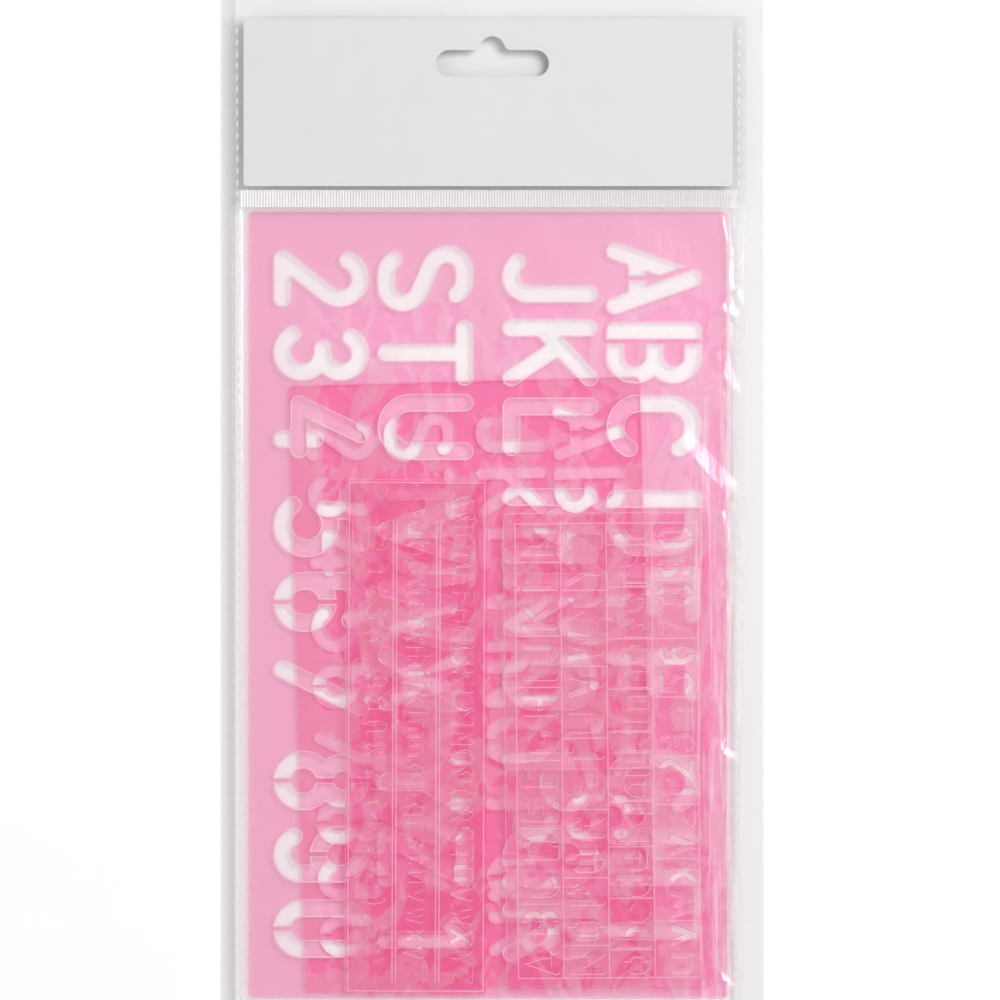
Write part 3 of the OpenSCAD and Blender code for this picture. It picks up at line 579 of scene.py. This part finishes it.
def closed_sheet(name, x, y, top, thickness):
    """A grid of places with heights, closed underneath by the same grid one thickness lower."""
    rows, cols = x.shape
    upper = np.stack([x, y, top], -1).reshape(-1, 3)
    lower = upper - (0.0, 0.0, thickness)
    n = rows * cols
    index = np.arange(n).reshape(rows, cols)
    corners = [index[:-1, :-1], index[:-1, 1:], index[1:, 1:], index[1:, :-1]]
    quads = np.stack(corners, -1).reshape(-1, 4)
    rim = np.concatenate([index[0, :], index[1:, -1], index[-1, -2::-1], index[-2:0:-1, 0]])
    after = np.roll(rim, -1)
    sides = np.stack([rim, rim + n, after + n, after], -1)
    faces = np.concatenate([quads, quads[:, ::-1] + n, sides])
    mesh = bpy.data.meshes.new(name)
    mesh.from_pydata((np.concatenate([upper, lower]) * MM).tolist(), [], faces.tolist())
    mesh.polygons.foreach_set("use_smooth", np.arange(len(faces)) < 2 * len(quads))
    obj = bpy.data.objects.new(name, mesh)
    bpy.context.scene.collection.objects.link(obj)
    return obj


def pouch_front():
    """The slack part of the front film over the sheets."""
    u = np.concatenate([
        np.linspace(-1.0, -0.94, 10, endpoint=False),
        np.linspace(-0.94, 0.5, 90, endpoint=False),
        np.linspace(0.5, 1.0, 90),
    ])
    y = np.concatenate([
        np.linspace(FOOT_Y, -10.0, 112, endpoint=False),
        np.linspace(-10.0, 62.0, 112, endpoint=False),
        np.linspace(62.0, SPLIT_Y, 26),
    ])
    yy, uu = np.meshgrid(y, u, indexing="ij")
    xx = uu * half_width(yy)
    film = closed_sheet("front_pouch", xx, yy, FRONT_Z + FILM_T + slack(xx, yy), FILM_T)
    film.data.materials.append(FRONT)
    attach(film, "bag")
    return film


def header_front():
    """The flat part of the front film over the card, cut from the solid."""
    piece, work = merged("front_film", "front_header")
    cut = bmesh.ops.bisect_plane(
        work,
        geom=everything(work),
        plane_co=(0.0, SPLIT_Y * MM, 0.0),
        plane_no=(0.0, 1.0, 0.0),
        clear_inner=True,
    )
    open_edges = [e for e in cut["geom_cut"] if isinstance(e, bmesh.types.BMEdge)]
    bmesh.ops.holes_fill(work, edges=open_edges)
    relevel(work, (4.35, 4.45, 4.77, 4.87), (4.37, 4.43, 4.79, 4.87))
    into_cells(work, 12.0 * MM)
    for face in work.faces:
        face.smooth = False
        face.material_index = 0
    work.to_mesh(piece.data)
    work.free()
    plain(piece, FILM)
    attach(piece, "bag")
    return piece


for half in (pouch_front(), header_front()):
    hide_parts("front_film")


# ---------------------------------------------------------------- floor, light, camera
def floor():
    """Pale table, white away from the bag, with painted shade: a soft grey band a few mm wide
    round the bag and above it, and a painted shadow, a little darker, beside the bag's left edge."""
    mesh = bpy.data.meshes.new("floor")
    half = 1.6
    corners = [(-half, -half, 0), (half, -half, 0), (half, half, 0), (-half, half, 0)]
    mesh.from_pydata(corners, [], [(0, 1, 2, 3)])
    obj = bpy.data.objects.new("floor", mesh)
    bpy.context.scene.collection.objects.link(obj)
    obj.location = (0.0, 0.0, -0.0002)
    p = Paint("floor")
    across = p.tree.nodes.new("ShaderNodeSeparateXYZ")
    p.tree.links.new(p.place, across.inputs[0])
    away = p.math("ABSOLUTE", p.math("SUBTRACT", across.outputs["X"], 1.1 * MM))
    far = p.span(away, 0.0768, 0.0774)
    left = p.span(across.outputs["X"], -0.0715, -0.0722)
    right = p.span(across.outputs["X"], 0.0688, 0.0712)
    above = p.span(across.outputs["Y"], 0.087, 0.09)
    # Painted shade: a grey band round the bag's sides and above it, out to where the floor turns
    # white.
    near = p.math("MAXIMUM", p.math("MAXIMUM", left, right), above)
    # Painted shadow, darkest at the bag's left edge.
    painted_left_shadow = p.math("MULTIPLY", left, p.span(across.outputs["X"], -0.0765, -0.0715, 0.0, 0.14))
    grain = p.span(p.noise(p.place, 25.0, 2.0), 0.3, 0.7, 0.0, 0.012)
    dark = p.math("ADD", p.math("MULTIPLY", near, 0.16), p.math("ADD", painted_left_shadow, grain))
    tone = p.math("ADD", p.math("SUBTRACT", 0.98, dark), p.math("MULTIPLY", far, 0.18))
    skin = p.node("ShaderNodeBsdfPrincipled", Roughness=0.9)
    skin.inputs["Specular IOR Level"].default_value = 0.1
    grey = p.tree.nodes.new("ShaderNodeCombineColor")
    for channel in ("Red", "Green", "Blue"):
        p.tree.links.new(tone, grey.inputs[channel])
    p.tree.links.new(grey.outputs["Color"], skin.inputs["Base Color"])
    mesh.materials.append(p.finish(skin.outputs[0]))


def lamp(name, size, power, place):
    """A soft oblong lamp that shines at the middle of the scene."""
    data = bpy.data.lights.new(name, "AREA")
    data.shape = "RECTANGLE"
    data.size, data.size_y = size
    data.energy = power
    obj = bpy.data.objects.new(name, data)
    bpy.context.scene.collection.objects.link(obj)
    obj.location = place
    obj.rotation_euler = (-Vector(place)).to_track_quat("-Z", "Y").to_euler()


def camera():
    """Straight down from 1.8 m, with a view 284 mm wide at the table."""
    data = bpy.data.cameras.new("camera")
    obj = bpy.data.objects.new("camera", data)
    bpy.context.scene.collection.objects.link(obj)
    height, view = 1.8, 0.284
    data.sensor_width = 36.0
    data.lens = data.sensor_width * height / view
    data.clip_start, data.clip_end = 0.05, 20.0
    obj.location = (3.35 * MM, 4.1 * MM, height)
    bpy.context.scene.camera = obj


floor()
lamp("key", (0.6, 0.6), 12.6, (0.55, 0.4, 1.3))
lamp("fill", (1.4, 1.0), 3.0, (-1.1, -0.4, 1.2))
world = bpy.data.worlds.new("studio")
world.use_nodes = True
sky = world.node_tree.nodes["Background"].inputs
sky["Color"].default_value = (1.0, 1.0, 1.0, 1.0)
sky["Strength"].default_value = 0.5
bpy.context.scene.world = world
camera()
scene = bpy.context.scene
scene.view_settings.view_transform = "Standard"
scene.cycles.transparent_max_bounces = 40
scene.cycles.diffuse_bounces = 8
